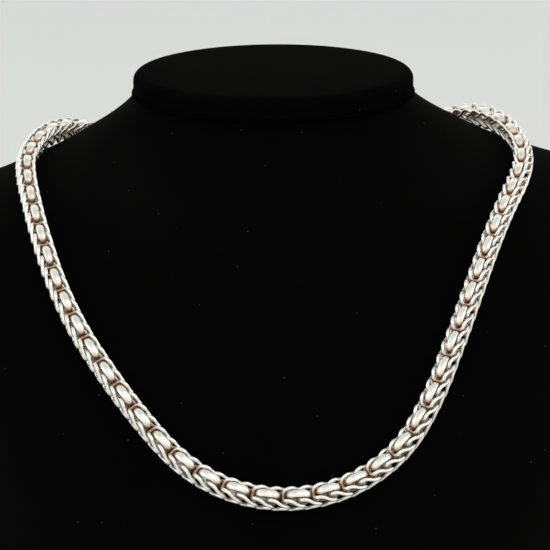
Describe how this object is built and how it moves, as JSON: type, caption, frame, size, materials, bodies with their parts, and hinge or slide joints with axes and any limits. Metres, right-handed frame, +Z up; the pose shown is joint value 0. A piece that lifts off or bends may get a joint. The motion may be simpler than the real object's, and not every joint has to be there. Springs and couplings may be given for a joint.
{
  "type": "braided chain necklace on neck bust",
  "caption": "Thick braided silver chain of long domed band links with round-wire saddle links between them, a closed loop with a plain clasp, lying on a dark cloth-covered neck bust.",
  "frame": {"origin": "middle of the bust's flat base", "axes": "+Z up, the bust's front faces -Y, X runs across the shoulders"},
  "size_m": [0.248, 0.22, 0.1664],
  "materials": {
    "bust_cloth": "black velvet-like cloth",
    "cap_cloth": "black cloth pad",
    "welt_cloth": "black sewn welt",
    "band_silver": "polished silver",
    "wire_silver": "polished silver wire",
    "clasp_silver": "polished silver"
  },
  "bodies": {
    "root": {"bust_body": "bust_cloth", "neck_cap": "cap_cloth", "cap_seam": "welt_cloth", "band_chain": "band_silver", "gap_wires": "wire_silver", "band_wires": "wire_silver", "clasp": "clasp_silver"}
  },
  "joints": []
}
